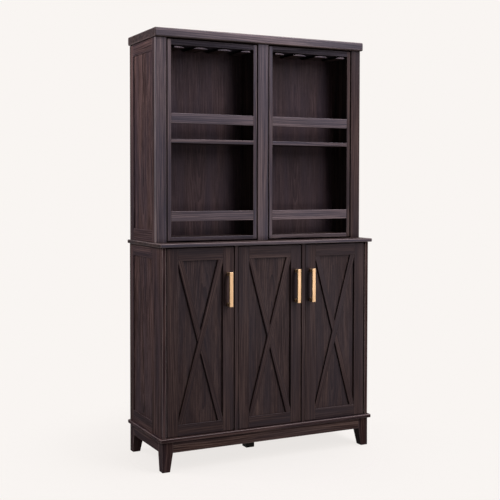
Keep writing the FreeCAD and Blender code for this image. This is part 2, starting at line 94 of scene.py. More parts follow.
# Oak, stained nearly black and sprayed with a thin satin lacquer: long streaks of brown with a violet
# cast, fine open pores, a painted highlight along the rounded edges, and a sheen that shows at low
# angles only.
# Real fibres and pores are about a third as wide; they are drawn coarser because they wouldn't show.
oakFigure = {
    "warp": ((384.6, 45.45, 45.45), 2.0, 0.55),  # slow wander of the growth rings
    "fibre": ((111.1, 1.613, 1.613), 3.0, 0.65),
    "streak": ((312.5, 6.667, 6.667), 3.0, 0.55),
    "cloud": ((909.1, 100.0, 100.0), 2.0, 0.55),
    "broad": ((714.3, 21.74, 21.74), 2.0, 0.55),
    "patch": ((588.2, 58.82, 58.82), 2.0, 0.55),  # places of a cooler tone
    "pore": ((38.46, 0.6667, 0.6667), 1.0, 0.55),
}
oakRings = {"spacing": 7.5, "wander": 18.0, "flank": 2.2}
oakShares = {"streak": 0.34, "fibre": 0.26, "broad": 0.3, "cloud": 0.12, "ring": -0.15}
oakLook = {
    "middleStop": 0.45,
    "coolFrom": (0.42, 0.66), "coolMost": 0.5,
    "poreFrom": (0.62, 0.72), "poreMost": 0.45,
    # the edge colour is a painted highlight, laid paler on the rounded edges
    "edgeHighlightColour": "#8d8080",
    "roughSwing": (0.07, -0.05),  # added to the roughness on dark and on light streaks
    "sheenTint": "#d8d8ff", "coatShare": 0.2, "coatRough": 0.3,
    "fibreHeight": 0.6, "bump": 0.3, "bumpDepth": 0.4,
}
noiseSpan = (0.3, 0.7)  # where nearly all values of a noise lie


def oakMaterial(name, dark, middle, light, cool, rough, gloss, spread, edgeHighlightShare):
    # streaks, fibres and rings are added up and coloured by a ramp; spread is half the ramp's width
    material, tree = newMaterial(name)
    grain = addNode(tree, "ShaderNodeAttribute", attribute_name="grain").outputs["Vector"]
    noise = noisePatterns(tree, grain, oakFigure)
    # growth rings: the distance from the heart, wandering, in turns with one soft and one hard flank
    flat = addNode(tree, "ShaderNodeVectorMath", {0: grain, 1: (0.0, 1.0, 1.0)}, operation="MULTIPLY")
    heart = addNode(tree, "ShaderNodeVectorMath", {0: flat.outputs[0]}, operation="LENGTH")
    radius = addNode(tree, "ShaderNodeMath", {
        0: noise["warp"], 1: oakRings["wander"] * mm, 2: heart.outputs["Value"],
    }, operation="MULTIPLY_ADD")
    turns = addNode(tree, "ShaderNodeMath", {
        0: radius.outputs[0], 1: oakRings["spacing"] * mm,
    }, operation="DIVIDE")
    part = addNode(tree, "ShaderNodeMath", {0: turns.outputs[0]}, operation="FRACT")
    ring = addNode(tree, "ShaderNodeMath", {
        0: part.outputs[0], 1: oakRings["flank"],
    }, operation="POWER")
    noise["ring"] = ring.outputs[0]
    mix = 0.0
    for pattern, share in oakShares.items():
        added = addNode(tree, "ShaderNodeMath", {
            0: noise[pattern], 1: share, 2: mix,
        }, operation="MULTIPLY_ADD")
        mix = added.outputs[0]
    ramp = addNode(tree, "ShaderNodeValToRGB", {0: mix})
    stops, centre = ramp.color_ramp.elements, oakLook["middleStop"]
    stops[0].position, stops[0].color = centre - spread, hexLinear(dark)
    stops[1].position, stops[1].color = centre + spread, hexLinear(light)
    stops.new(centre).color = hexLinear(middle)
    # cooler patches, open pores and a painted highlight on the rounded edges are laid over the ramp's
    # colour; sockets 6 and 7 of a mix are its two colours
    least, most = oakLook["coolFrom"]
    patches = addNode(tree, "ShaderNodeMapRange", {
        0: noise["patch"], 1: least, 2: most, 3: 0.0, 4: oakLook["coolMost"],
    })
    least, most = oakLook["poreFrom"]
    pores = addNode(tree, "ShaderNodeMapRange", {
        0: noise["pore"], 1: least, 2: most, 3: 0.0, 4: oakLook["poreMost"],
    })
    onEdge = addNode(tree, "ShaderNodeAttribute", attribute_name="edge").outputs["Fac"]
    # painted highlight: the rounded edges are turned paler, for the light they would catch
    paintedEdgeHighlight = addNode(tree, "ShaderNodeMath", {0: onEdge, 1: edgeHighlightShare}, operation="MULTIPLY")
    colour = ramp.outputs[0]
    for cover, tone in ((patches, cool), (pores, dark), (paintedEdgeHighlight, oakLook["edgeHighlightColour"])):
        laid = addNode(tree, "ShaderNodeMix", {
            0: cover.outputs[0], 6: colour, 7: hexLinear(tone),
        }, data_type="RGBA")
        colour = laid.outputs[2]
    onDark, onLight = oakLook["roughSwing"]
    roughness = addNode(tree, "ShaderNodeMapRange", {
        0: noise["streak"], 1: noiseSpan[0], 2: noiseSpan[1], 3: rough + onDark, 4: rough + onLight,
    })
    fibres = addNode(tree, "ShaderNodeMath", {
        0: noise["fibre"], 1: oakLook["fibreHeight"],
    }, operation="MULTIPLY")
    height = addNode(tree, "ShaderNodeMath", {
        0: fibres.outputs[0], 1: pores.outputs[0],
    }, operation="SUBTRACT")
    bump = addNode(tree, "ShaderNodeBump", {
        "Strength": oakLook["bump"], "Distance": oakLook["bumpDepth"] * mm, "Height": height.outputs[0],
    })
    surface = addNode(tree, "ShaderNodeBsdfPrincipled", {
        "Base Color": colour, "Roughness": roughness.outputs[0], "Normal": bump.outputs[0],
        "Specular IOR Level": gloss, "Specular Tint": hexLinear(oakLook["sheenTint"]),
        "Coat Weight": oakLook["coatShare"] * gloss, "Coat Roughness": oakLook["coatRough"],
    })
    addNode(tree, "ShaderNodeOutputMaterial", {0: surface.outputs[0]})
    return material


metalLook = {"patch": 16.7, "roughSwing": (-0.06, 0.1), "bump": 0.15, "bumpDepth": 0.1}


def metalMaterial(name, colour, worn, rough, lines, metallic):
    # metal with slight patches of tone; lines is the size of its brushing along X, Y and Z in mm
    material, tree = newMaterial(name)
    place = addNode(tree, "ShaderNodeTexCoord").outputs["Object"]
    noise = noisePatterns(tree, place, {
        "lines": (lines, 2.0, 0.55), "patches": ([metalLook["patch"]] * 3, 3.0, 0.55),
    })
    tone = addNode(tree, "ShaderNodeMix", {
        0: noise["patches"], 6: hexLinear(worn), 7: hexLinear(colour),
    }, data_type="RGBA")
    least, most = metalLook["roughSwing"]
    roughness = addNode(tree, "ShaderNodeMapRange", {
        0: noise["lines"], 1: noiseSpan[0], 2: noiseSpan[1], 3: rough + least, 4: rough + most,
    })
    bump = addNode(tree, "ShaderNodeBump", {
        "Strength": metalLook["bump"], "Distance": metalLook["bumpDepth"] * mm,
        "Height": noise["lines"],
    })
    surface = addNode(tree, "ShaderNodeBsdfPrincipled", {
        "Base Color": tone.outputs[2], "Metallic": metallic, "Roughness": roughness.outputs[0],
        "Normal": bump.outputs[0],
    })
    addNode(tree, "ShaderNodeOutputMaterial", {0: surface.outputs[0]})
    return material


plasticLook = {"grit": 1.11, "roughSwing": 0.05, "bump": 0.2, "bumpDepth": 0.2}


def plasticMaterial(name, colour, rough, gloss):
    # moulded plastic with the fine even grit of its mould
    material, tree = newMaterial(name)
    place = addNode(tree, "ShaderNodeTexCoord").outputs["Object"]
    grit = noisePatterns(tree, place, {"grit": ([plasticLook["grit"]] * 3, 2.0, 0.55)})["grit"]
    swing = plasticLook["roughSwing"]
    roughness = addNode(tree, "ShaderNodeMapRange", {
        0: grit, 1: noiseSpan[0], 2: noiseSpan[1], 3: rough - swing, 4: rough + swing,
    })
    bump = addNode(tree, "ShaderNodeBump", {
        "Strength": plasticLook["bump"], "Distance": plasticLook["bumpDepth"] * mm, "Height": grit,
    })
    surface = addNode(tree, "ShaderNodeBsdfPrincipled", {
        "Base Color": hexLinear(colour), "Specular IOR Level": gloss, "Roughness": roughness.outputs[0],
        "Normal": bump.outputs[0],
    })
    addNode(tree, "ShaderNodeOutputMaterial", {0: surface.outputs[0]})
    return material


# The satin finish is the front of the boards, and the dull one, darker and with less gloss, is for the
# faces behind it, where its darker colour is painted shade; the rail and apron finishes are lighter,
# painted light on the crown, guard rails and apron front; the finish after them, darker and cooler, is
# a painted shadow of the crown on the tops of the display boxes; the others are named for their boards
oakFinishes = {
    "satin": {"dark": "#0e0809", "middle": "#281d1d", "light": "#4e4140", "cool": "#24212a",
              "rough": 0.46, "gloss": 0.2, "spread": 0.1, "edgeHighlightShare": 0.28},
    # a darker copy of satin with little gloss: painted shade on the faces behind the front
    "dullShaded": {"dark": "#0b0706", "middle": "#201716", "light": "#3f3331", "cool": "#1d1a1f",
             "rough": 0.5, "gloss": 0.02, "spread": 0.1, "edgeHighlightShare": 0.28},
    # a lighter copy of satin: painted light on the crown and guard rails, which catch the most light
    "rail": {"dark": "#110b0b", "middle": "#2f2525", "light": "#5a4c4c", "cool": "#2a262d",
             "rough": 0.46, "gloss": 0.2, "spread": 0.1, "edgeHighlightShare": 0.28},
    # a lighter copy of the side finish: painted light on the apron front under the cap
    "apron": {"dark": "#140d0b", "middle": "#352724", "light": "#65534e", "cool": "#2e282d",
              "rough": 0.6, "gloss": 0.02, "spread": 0.13, "edgeHighlightShare": 0.28},
    # painted shadow: darker and cooler, standing for the crown's shadow on the tops of the display
    # boxes
    "crownShadow": {"dark": "#0a0809", "middle": "#1e1b1f", "light": "#38333a", "cool": "#1e1c24",
              "rough": 0.6, "gloss": 0.02, "spread": 0.13, "edgeHighlightShare": 0.28},
    "side": {"dark": "#0f0909", "middle": "#291c1b", "light": "#503f3d", "cool": "#252028",
             "rough": 0.6, "gloss": 0.02, "spread": 0.13, "edgeHighlightShare": 0.28},
    "door": {"dark": "#0d0807", "middle": "#251a18", "light": "#443632", "cool": "#201c20",
             "rough": 0.5, "gloss": 0.08, "spread": 0.18, "edgeHighlightShare": 0.15},
    "panel": {"dark": "#0e0909", "middle": "#271c1c", "light": "#423333", "cool": "#221c23",
              "rough": 0.6, "gloss": 0.1, "spread": 0.25, "edgeHighlightShare": 0.0},
}
oak = {name: oakMaterial(f"stainedOak.{name}", **finish) for name, finish in oakFinishes.items()}
metalFinishes = {
    # brushed along the bar under clear lacquer: pale gold with a soft, broad highlight.
    # Real brushing lines are about 0.2 mm wide; here they are 2 mm, so that they show
    "brushedBrass": {"colour": "#a4886a", "worn": "#997d5d", "rough": 0.42,
                     "lines": (2.0, 2.0, 71.4), "metallic": 0.55},
    # stamped and plated: an even pale grey with small soft highlights
    "zincPlatedSteel": {"colour": "#b9b9b6", "worn": "#8e8e8c", "rough": 0.32,
                        "lines": (3.33, 3.33, 3.33), "metallic": 1.0},
    # turned, then blackened in oil: nearly black, with a dull shine on its edges
    "blackenedSteel": {"colour": "#1d1c1c", "worn": "#141313", "rough": 0.45,
                       "lines": (3.33, 3.33, 3.33), "metallic": 1.0},
}
brass, steel, blackSteel = [metalMaterial(name, **finish) for name, finish in metalFinishes.items()]
# moulded ABS: black, without shine; its real grit of 0.3 mm is drawn at 1.1 mm
blackPlastic = plasticMaterial("mouldedAbs", "#100f0f", 0.6, 0.05)
print("materials made")

mostRound = 0.49  # largest rounding, as a share of a board's thickness
weldsPerMetre = 1e7  # points that round to the same step of this grid become one
noRows = ((), (), ())
plainSteps, fineSteps = 2, 3  # faces across half of a rounded edge


def stations(low, high, radius, steps, extra):
    # places along one axis of a rounded box: the core's edge and how far the corner leans out
    lean = np.tan(math.pi / 4 * np.arange(steps, -1, -1) / steps)
    ends = np.full(steps + 1, low + radius), np.full(steps + 1, high - radius)
    core = np.concatenate([ends[0], extra, ends[1]])
    return core, np.concatenate([-lean, np.zeros(len(extra)), lean[::-1]])


def roundedBox(low, high, radius, steps, extra):
    # six grids, one per face: each point is the nearest point of an inner core box, plus the radius
    # along the way it leans; extra adds rows of points along an axis, and edge runs from 0 on a flat
    # to 1 in the middle of a rounded edge
    low, high = np.array(low, float), np.array(high, float)
    radius = min(radius, mostRound * float((high - low).min()))
    lines = [stations(low[a], high[a], radius, steps, extra[a]) for a in range(3)]
    points, quads, edge, count = [], [], [], 0
    for axis in range(3):
        other, third = (axis + 1) % 3, (axis + 2) % 3
        (coreU, leanU), (coreV, leanV) = lines[other], lines[third]
        shape = (len(coreU), len(coreV))
        for sign in (-1, 1):
            core, lean = np.zeros(shape + (3,)), np.zeros(shape + (3,))
            core[..., axis] = high[axis] - radius if sign > 0 else low[axis] + radius
            lean[..., axis] = sign
            core[..., other], lean[..., other] = coreU[:, None], leanU[:, None]
            core[..., third], lean[..., third] = coreV[None, :], leanV[None, :]
            lean /= np.linalg.norm(lean, axis=-1, keepdims=True)
            points.append((core + radius * lean).reshape(-1, 3))
            edge.append((1 - np.abs(lean).max(-1)).ravel() / (1 - math.sqrt(0.5)))
            index = count + np.arange(shape[0] * shape[1]).reshape(shape)
            faces = [index[:-1, :-1], index[1:, :-1], index[1:, 1:], index[:-1, 1:]]
            quads.append(np.stack(faces, axis=-1).reshape(-1, 4)[:, ::sign])
            count += index.size
    points, quads, edge = np.concatenate(points), np.concatenate(quads), np.concatenate(edge)
    # points that two grids share become one
    keys = np.round(points * weldsPerMetre).astype(np.int64)
    first, inverse = np.unique(keys, axis=0, return_index=True, return_inverse=True)[1:]
    return {"points": points[first], "corners": inverse.reshape(-1)[quads].ravel(),
            "sizes": np.full(len(quads), 4), "edge": np.minimum(edge[first], 1.0)}


def skin(rings):
    # closed skin over rings of points: a quad between each two neighbours, and a flat face at each end
    count, around = rings.shape[:2]
    index = np.arange(count * around).reshape(count, around)
    after = np.roll(index, -1, axis=1)
    quads = np.stack([index[:-1], after[:-1], after[1:], index[1:]], axis=-1)
    return {"points": rings.reshape(-1, 3),
            "corners": np.concatenate([quads.ravel(), index[0, ::-1], index[-1]]),
            "sizes": np.concatenate([np.full((count - 1) * around, 4), np.full(2, around)])}


# Where boards are cut from the log, in metres from its heart, and how the log leans through them
flatCut = {"across": 0.015, "lean": (0.045, 0.08), "start": 0.25}
sideCut = {"across": (0.25, 0.6), "depth": (0.05, 0.3), "lean": 0.03}
logLength = 40  # long enough for no two boards to share a figure


def grainOf(points, along, figure, seed):
    # grain coordinates of a board: along, across, and depth in a log that leans through it
    draw = np.random.default_rng(seed)
    low, high = points.min(0), points.max(0)
    middle, size = (low + high) / 2, high - low
    rest = [a for a in range(3) if a != along]
    rest.sort(key=lambda a: -size[a])
    local = points - middle
    length = local[:, along]
    if figure == "cathedral":
        across = local[:, rest[0]] + draw.uniform(-flatCut["across"], flatCut["across"])
        lean = draw.uniform(*flatCut["lean"]) * draw.choice([-1, 1])
        depth = local[:, rest[1]] + lean * (length + draw.uniform(-flatCut["start"], flatCut["start"]))
    else:
        across = local[:, rest[0]] + draw.uniform(*sideCut["across"])
        depth = local[:, rest[1]] + draw.uniform(*sideCut["depth"])
        depth = depth + draw.uniform(-sideCut["lean"], sideCut["lean"]) * length
    return np.stack([length + draw.uniform(0, logLength), across, depth], axis=1)


def board(low, high, along, radius, figure="straight", seed=0, steps=plainSteps, extra=noRows,
          pale=1.0):
    # one rounded board; corners and radius in millimetres; pale is the strength of the painted
    # highlight on its edges
    part = roundedBox(np.array(low) * mm, np.array(high) * mm, radius * mm, steps, extra)
    part["edge"] = pale * part["edge"]
    part["grain"] = grainOf(part["points"], along, figure, seed)
    return part


frontDepth = 0.3  # faces within this many millimetres of the front belong to it


def shadeBehind(part, front):
    # faces whose middle, the mean of their corners, lies behind the front take the second finish, the
    # darker one that paints shade there
    starts = np.cumsum(part["sizes"]) - part["sizes"]
    depth = np.add.reduceat(part["points"][part["corners"], 1], starts) / part["sizes"]
    part["finish"] = (depth > (front + frontDepth) * mm).astype(int)
    return part


def areaNormals(points, corners, sizes):
    # vertex normals weighted by face area, so that flats stay flat beside their rounded edges:
    # half the sum of the cross products round a face, added up at its corners
    starts = np.cumsum(sizes) - sizes
    following = np.arange(len(corners)) + 1
    following[starts + sizes - 1] = starts
    turned = np.cross(points[corners], points[corners[following]])
    faceNormals = np.add.reduceat(turned, starts, axis=0) / 2
    normals = np.zeros_like(points)
    np.add.at(normals, corners, np.repeat(faceNormals, sizes, axis=0))
    return normals / np.maximum(np.linalg.norm(normals, axis=1, keepdims=True), 1e-20)


def makePiece(name, parts, finishes, body, nodes):
    # joins parts into one object that rides on a body and stands for its CAD nodes
    kinds = ("points", "corners", "sizes", "edge", "grain", "finish", "normals")
    joined = {kind: [] for kind in kinds}
    count = 0
    for part in parts:
        points, corners, sizes = part["points"], part["corners"], part["sizes"]
        plain = {"edge": np.zeros(len(points)), "grain": points, "finish": np.zeros(len(sizes), int)}
        whole = {**plain, **part, "corners": corners + count,
                 "normals": areaNormals(points, corners, sizes)}
        for kind in kinds:
            joined[kind].append(whole[kind])
        count += len(points)
    joined = {kind: np.concatenate(items) for kind, items in joined.items()}
    faces = np.split(joined["corners"], np.cumsum(joined["sizes"])[:-1])
    mesh = bpy.data.meshes.new(name)
    mesh.from_pydata(joined["points"].tolist(), [], [face.tolist() for face in faces])
    for finish in finishes:
        mesh.materials.append(finish)
    mesh.polygons.foreach_set("use_smooth", np.ones(len(faces), bool))
    mesh.polygons.foreach_set("material_index", joined["finish"].astype(np.int32))
    layer = mesh.attributes.new("grain", "FLOAT_VECTOR", "POINT")
    layer.data.foreach_set("vector", joined["grain"].astype(np.float32).ravel())
    layer = mesh.attributes.new("edge", "FLOAT", "POINT")
    layer.data.foreach_set("value", joined["edge"].astype(np.float32))
    mesh.normals_split_custom_set_from_vertices(joined["normals"].tolist())
    piece = bpy.data.objects.new(name, mesh)
    scene.collection.objects.link(piece)
    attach(piece, body)
    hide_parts(*nodes)


def nodeBox(node):
    # a node's lowest and highest corners in millimetres
    low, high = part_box(node)
    return np.array(low) / mm, np.array(high) / mm


def bodyOf(node):
    # the moving body that a node belongs to
    bodies = frame["record"]["behaviour"]["bodies"]
    return next(name for name, members in bodies.items() if node in members)


# First seed of the grain in each group of boards, and the seeds kept for one side, door or display box
sideRoom, doorRoom, displayRoom = 10, 20, 20
seeds = {"boards": 100, "sides": 200, "rails": 301, "feet": 310, "block": 320, "doors": 400,
         "displays": 500}

# Plain boards: the axis of the grain (0 is X, 2 is Z), the rounding of the edges in millimetres, and
# the figure
plainBoards = {
    "base_bottom": (0, 3.0, "straight"),
    "counter": (0, 3.0, "straight"),
    "hutch_crown": (0, 6.0, "straight"),
    "base_partition_left": (2, 1.0, "straight"),
    "base_partition_right": (2, 1.0, "straight"),
    "base_back": (2, 0.6, "cathedral"),
    "base_shelf_left": (0, 1.0, "straight"),
    "base_shelf_middle": (0, 1.0, "straight"),
    "base_shelf_right": (0, 1.0, "straight"),
    "apron_front": (0, 1.5, "straight"),
    "hutch_stile_left": (2, 1.5, "straight"),
    "hutch_stile_centre": (2, 1.5, "straight"),
    "hutch_stile_right": (2, 1.5, "straight"),
    "hutch_back": (2, 0.6, "cathedral"),
}
for hand in ("left", "right"):
    for which in ("side_outer", "side_inner"):
        plainBoards[f"display_{hand}_{which}"] = (2, 1.2, "straight")
    for which in ("top", "bottom", "shelf"):
        plainBoards[f"display_{hand}_{which}"] = (0, 1.2, "straight")
    plainBoards[f"display_{hand}_back"] = (2, 0.6, "cathedral")
for hand in ("left", "middle", "right"):
    plainBoards[f"door_{hand}_panel"] = (2, 0.6, "cathedral")
strongestEdgeHighlight = 2.2  # the outer edges of the base get a stronger painted highlight than the others
edgeHighlightBoards = ("base_bottom", "counter")
# satin or the lighter rail finish in front, each with the darker, painted-shade finish behind
satinWithShadedBack, litRailWithShadedBack = [oak["satin"], oak["dullShaded"]], [oak["rail"], oak["dullShaded"]]
ownFinishes = {
    "hutch_crown": litRailWithShadedBack,
    # the apron front's lighter finish is painted light
    "apron_front": [oak["apron"]],
    "base_bottom": [oak["side"]],
    # the right stile and the right display box's outer side take the darker door finish: painted shade
    # on the right of the front
    "hutch_stile_right": [oak["door"]],
    "display_right_side_outer": [oak["door"], oak["dullShaded"]],
}


def boardFinishes(node):
    # the finish of a plain board, or one for its front and one for the faces behind it
    if node in ownFinishes:
        return ownFinishes[node]
    if node.endswith("_back"):
        return [oak["panel"]]
    if node.startswith(("door", "base_partition")):
        return [oak["door"]]
    # the tops of the display boxes take the painted shadow of the crown
    if node.endswith("_top"):
        return [oak["crownShadow"]]
    if node == "counter" or node.startswith("display"):
        return satinWithShadedBack
    return [oak["satin"]]


for number, (node, (along, radius, figure)) in enumerate(plainBoards.items()):
    low, high = nodeBox(node)
    finishes = boardFinishes(node)
    pale = strongestEdgeHighlight if node in edgeHighlightBoards else 1.0
    part = board(low, high, along, radius, figure, seeds["boards"] + number, pale=pale)
    if len(finishes) > 1:
        shadeBehind(part, low[1])
    makePiece(f"{node}.board", [part], finishes, bodyOf(node), [node])
print("plain boards made")

# Framed sides: stiles, rails and a sunk field on the outer face
sideFrame = {"depth": 298.0, "sunk": 4.0, "stile": 43.0, "rail": 50.0, "baseCorner": 4.0, "edge": 1.0,
             "fieldEdge": 0.4}
framedSides = ("base_side_left", "base_side_right", "hutch_side_left", "hutch_side_right")
for number, node in enumerate(framedSides):
    low, high = nodeBox(node)
    fieldFront = high[1] - sideFrame["depth"] + sideFrame["stile"]
    fieldRear = high[1] - sideFrame["stile"]
    fieldLow, fieldHigh = low[2] + sideFrame["rail"], high[2] - sideFrame["rail"]
    seed, edge = seeds["sides"] + sideRoom * number, sideFrame["edge"]
    # the base's sides get a rounder corner and a stronger painted highlight on their edges
    corner, pale = (sideFrame["baseCorner"], strongestEdgeHighlight) if node.startswith("base") else (edge, 1.0)
    fieldLeft = low[0] + sideFrame["sunk"] if "left" in node else low[0]
    fieldRight = high[0] if "left" in node else high[0] - sideFrame["sunk"]
    makePiece(f"{node}.framed", [
        board(low, (high[0], fieldFront, high[2]), 2, corner, "straight", seed, fineSteps, pale=pale),
        board((low[0], fieldRear, low[2]), high, 2, edge, "straight", seed + 1),
        board((low[0], fieldFront, low[2]), (high[0], fieldRear, fieldLow), 1,
              edge, "straight", seed + 2),
        board((low[0], fieldFront, fieldHigh), (high[0], fieldRear, high[2]), 1,
              edge, "straight", seed + 3),
        board((fieldLeft, fieldFront, fieldLow), (fieldRight, fieldRear, fieldHigh), 2,
              sideFrame["fieldEdge"], "cathedral", seed + 4),
    ], [oak["side"]], "carcass", [node])
print("framed sides made")

# Plinth: rails between the feet, and tapered feet
plinthRail = {"thick": 18.0, "round": 1.5}
footTaper = {"top": 47.0, "toe": 34.0, "straightFrom": 77.0, "round": 2.0, "firstRow": 12.0, "rows": 6}
centreRound = 1.5
low, high = nodeBox("plinth_rails")
thick, soft, foot, seed = plinthRail["thick"], plinthRail["round"], footTaper["top"], seeds["rails"]
makePiece("plinth_rails.boards", [
    board(low, (low[0] + thick, high[1] - foot, high[2]), 1, soft, "straight", seed),
    board((high[0] - thick, low[1], low[2]), (high[0], high[1] - foot, high[2]), 1,
          soft, "straight", seed + 1),
    board((low[0] + foot, high[1] - thick, low[2]), (high[0] - foot, high[1], high[2]), 0,
          soft, "straight", seed + 2),
], [oak["side"]], "carcass", ["plinth_rails"])


def taperedFoot(node, seed):
    # a square post whose inner faces draw in towards the toe, in proportion to the way down
    low, high = nodeBox(node)
    rows = np.linspace(footTaper["firstRow"], footTaper["straightFrom"], footTaper["rows"]) * mm
    part = board(low, high, 2, footTaper["round"], "straight", seed, fineSteps, ((), (), rows))
    points = part["points"]
    outer = np.where(low < 0, low, high)[:2] * mm
    share = 1 - np.clip(points[:, 2:] / (footTaper["straightFrom"] * mm), 0, 1)
    squeeze = 1 - share * (1 - footTaper["toe"] / footTaper["top"])
    points[:, :2] = outer + (points[:, :2] - outer) * squeeze
    return part


cornerFeet = ("foot_front_left", "foot_front_right", "foot_rear_left", "foot_rear_right")
for number, node in enumerate(cornerFeet):
    post = taperedFoot(node, seeds["feet"] + number)
    makePiece(f"{node}.tapered", [post], [oak["side"]], "carcass", [node])
low, high = nodeBox("foot_centre")
block = board(low, high, 2, centreRound, "straight", seeds["block"])
makePiece("foot_centre.block", [block], [blackPlastic], "carcass", ["foot_centre"])
print("plinth made")


def clip(outline, point, normal):
    # keeps the part of a convex outline on the inner side of a line
    side = (outline - point) @ normal
    after, sideAfter = np.roll(outline, -1, axis=0), np.roll(side, -1)
    share = side / np.where(side == sideAfter, 1.0, side - sideAfter)
    crossing = outline + (after - outline) * share[:, None]
    kept = np.stack([side <= 0, side * sideAfter < 0], axis=1).ravel()
    return np.stack([outline, crossing], axis=1).reshape(-1, 2)[kept]


def inset(outline, distance):
    # moves each edge of an anticlockwise outline inwards
    edges = np.roll(outline, -1, axis=0) - outline
    edges /= np.linalg.norm(edges, axis=1, keepdims=True)
    after = np.stack([-edges[:, 1], edges[:, 0]], axis=1)
    before = np.roll(after, 1, axis=0)
    corner = before + after
    corner /= np.maximum((corner * before).sum(1, keepdims=True), 1e-6)
    return outline + distance * corner


easeMiddle = 0.3  # share of the ease at the middle of an edge; 0.5 would be a plain bevel


def slab(outline, front, back, ease):
    # an outline in X and Z drawn out from front to back, its edges eased on both faces; in millimetres
    after = np.roll(outline, -1, axis=0)
    area = (outline[:, 0] * after[:, 1] - after[:, 0] * outline[:, 1]).sum()
    outline = outline if area > 0 else outline[::-1]
    levels = [(ease, 0.0), (easeMiddle * ease, easeMiddle * ease), (0.0, ease)]
    rings = [(inset(outline, drawn), back - deep) for drawn, deep in levels]
    rings += [(inset(outline, drawn), front + deep) for drawn, deep in levels[::-1]]
    rings = [np.stack([ring[:, 0], np.full(len(ring), y), ring[:, 1]], axis=1) for ring, y in rings]
    return skin(np.stack(rings) * mm)


def lathe(profile, centre, turns):
    # a profile of (place along Y, radius) pairs turned about a line along Y, in so many faces
    angles = np.linspace(0, -2 * math.pi, turns, endpoint=False)
    place, radius = np.array(profile).T[..., None]
    rings = np.stack([radius * np.cos(angles), place + 0 * angles, radius * np.sin(angles)], axis=-1)
    return skin((rings + np.array(centre)) * mm)


# Doors: frame boards, crossed battens and handles; a way of 1 is a door hinged on its left
doorPlaces = {"left": 1, "middle": 1, "right": -1}
doorFrame = {"stile": 50.0, "railTop": 51.0, "railBottom": 46.0, "edge": 1.2}
battenShape = {"width": 24.0, "cornerOffset": 9.0, "edge": 1.2}
handleShape = {"depth": 9.0, "post": 14.0, "postInset": 2.0, "postRound": 1.5, "round": 2.2}


def battenPart(outline, front, back, turn, seed):
    # a batten from its outline; its grain is drawn on it turned upright, by its lean
    part = slab(outline, front, back, battenShape["edge"])
    x, y, z = part["points"].T
    upright = np.stack([x * math.cos(turn) - z * math.sin(turn), y,
                        x * math.sin(turn) + z * math.cos(turn)], axis=1)
    part["grain"] = grainOf(upright, 2, "straight", seed)
    return part


def doorCross(node, seed):
    # two strips along the diagonals of the panel: one whole, the other cut in two where they cross
    low, high = nodeBox(node)
    fieldLow, fieldHigh = nodeBox(node.replace("cross", "panel"))
    left, right, bottom, top = fieldLow[0], fieldHigh[0], fieldLow[2], fieldHigh[2]
    middle = np.array([(left + right) / 2, (bottom + top) / 2])
    room = np.array([[left, bottom], [right, bottom], [right, top], [left, top]])
    diagonal = math.hypot(right - left, top - bottom)
    lean = math.acos(2 * battenShape["cornerOffset"] / diagonal)
    lean -= math.atan2(top - bottom, right - left)
    half = battenShape["width"] / 2
    rising = np.array([math.cos(lean), -math.sin(lean)])
    falling = np.array([math.cos(lean), math.sin(lean)])
    whole = clip(clip(room, middle + half * rising, rising), middle - half * rising, -rising)
    parts = [battenPart(whole, low[1], high[1], lean, seed)]
    strip = clip(clip(room, middle + half * falling, falling), middle - half * falling, -falling)
    for way in (1, -1):
        piece = clip(strip, middle + way * half * rising, -way * rising)
        parts.append(battenPart(piece, low[1], high[1], -lean, seed + 1 + way))
    return parts


def doorHandle(node):
    # a flat bar with rounded edges on two square posts
    low, high = nodeBox(node)
    middle = (low + high) / 2
    barBack = low[1] + handleShape["depth"]
    parts = [board(low, (high[0], barBack, high[2]), 2, handleShape["round"], "straight", 1, fineSteps)]
    post, gap = handleShape["post"], handleShape["postInset"]
    for level in (low[2] + gap, high[2] - gap - post):
        parts.append(board((middle[0] - post / 2, barBack - handleShape["depth"] / 2, level),
                           (middle[0] + post / 2, high[1], level + post), 2, handleShape["postRound"]))
    return parts


for number, hand in enumerate(doorPlaces):
    stem, seed = f"door_{hand}", seeds["doors"] + doorRoom * number
    low, high = nodeBox(f"{stem}_frame")
    left, right, edge = low[0] + doorFrame["stile"], high[0] - doorFrame["stile"], doorFrame["edge"]
    railLow, railHigh = low[2] + doorFrame["railBottom"], high[2] - doorFrame["railTop"]
    makePiece(f"{stem}_frame.boards", [
        board(low, (left, high[1], high[2]), 2, edge, "straight", seed),
        board((right, low[1], low[2]), high, 2, edge, "straight", seed + 1),
        board((left, low[1], low[2]), (right, high[1], railLow), 0, edge, "straight", seed + 2),
        board((left, low[1], railHigh), (right, high[1], high[2]), 0, edge, "straight", seed + 3),
    ], [oak["door"]], stem, [f"{stem}_frame"])
    makePiece(f"{stem}_cross.battens", doorCross(f"{stem}_cross", seed + 5), [oak["door"]],
              stem, [f"{stem}_cross"])
    makePiece(f"{stem}_handle.pull", doorHandle(f"{stem}_handle"), [brass],
              stem, [f"{stem}_handle"])
print("doors made")

# Display boxes: guard rails and stemware racks
guardRail = {"height": 41.0, "round": 1.5}
rackShape = {"rails": 4, "slot": 45.0, "endShare": 0.6875, "thick": 6.5, "edge": 0.5, "domeRise": 5.0,
             "domePoints": 25, "stem": 18.0, "stemBack": 36.0, "stemEdge": 0.4}


